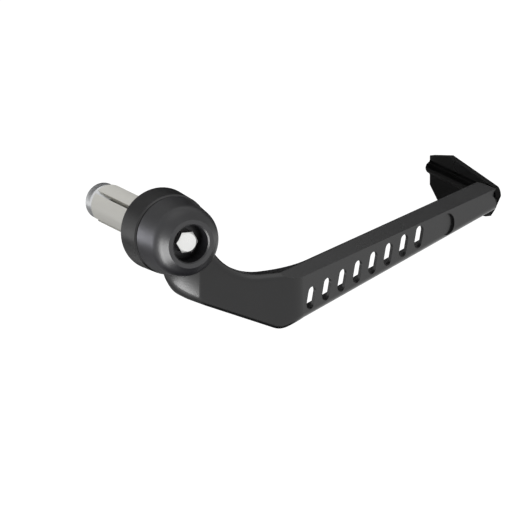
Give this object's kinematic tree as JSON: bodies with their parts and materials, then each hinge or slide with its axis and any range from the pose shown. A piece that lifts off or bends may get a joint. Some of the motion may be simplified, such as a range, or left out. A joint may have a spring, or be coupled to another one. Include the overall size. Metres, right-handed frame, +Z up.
{
  "type": "brake lever guard",
  "caption": "Motorcycle brake lever guard: a slotted moulded arm on a bar-end hub sweeps forward to a shield in front of the lever, clamped by a domed cap, bolt and expanding bar insert.",
  "frame": {"origin": "on the handlebar's axis, in the plane where the hub's inboard face meets the bar's end", "axes": "+X outboard along the handlebar, +Y forward, +Z up, for the right-hand end of the bar"},
  "size_m": [0.1189, 0.179, 0.0558],
  "materials": {
    "guard_moulding": "satin black glass-filled nylon",
    "cap_moulding": "satin black nylon, turned look",
    "bolt_zinc": "bright zinc plate",
    "washer_black": "black oxide",
    "sleeve_nylon": "natural nylon",
    "nut_aluminium": "plain turned aluminium"
  },
  "bodies": {
    "root": {"guard_arm": "guard_moulding", "bar_end_cap": "cap_moulding", "clamp_bolt": "bolt_zinc", "bolt_washer": "washer_black", "expander_sleeve": "sleeve_nylon", "wedge_nut": "nut_aluminium"}
  },
  "joints": []
}
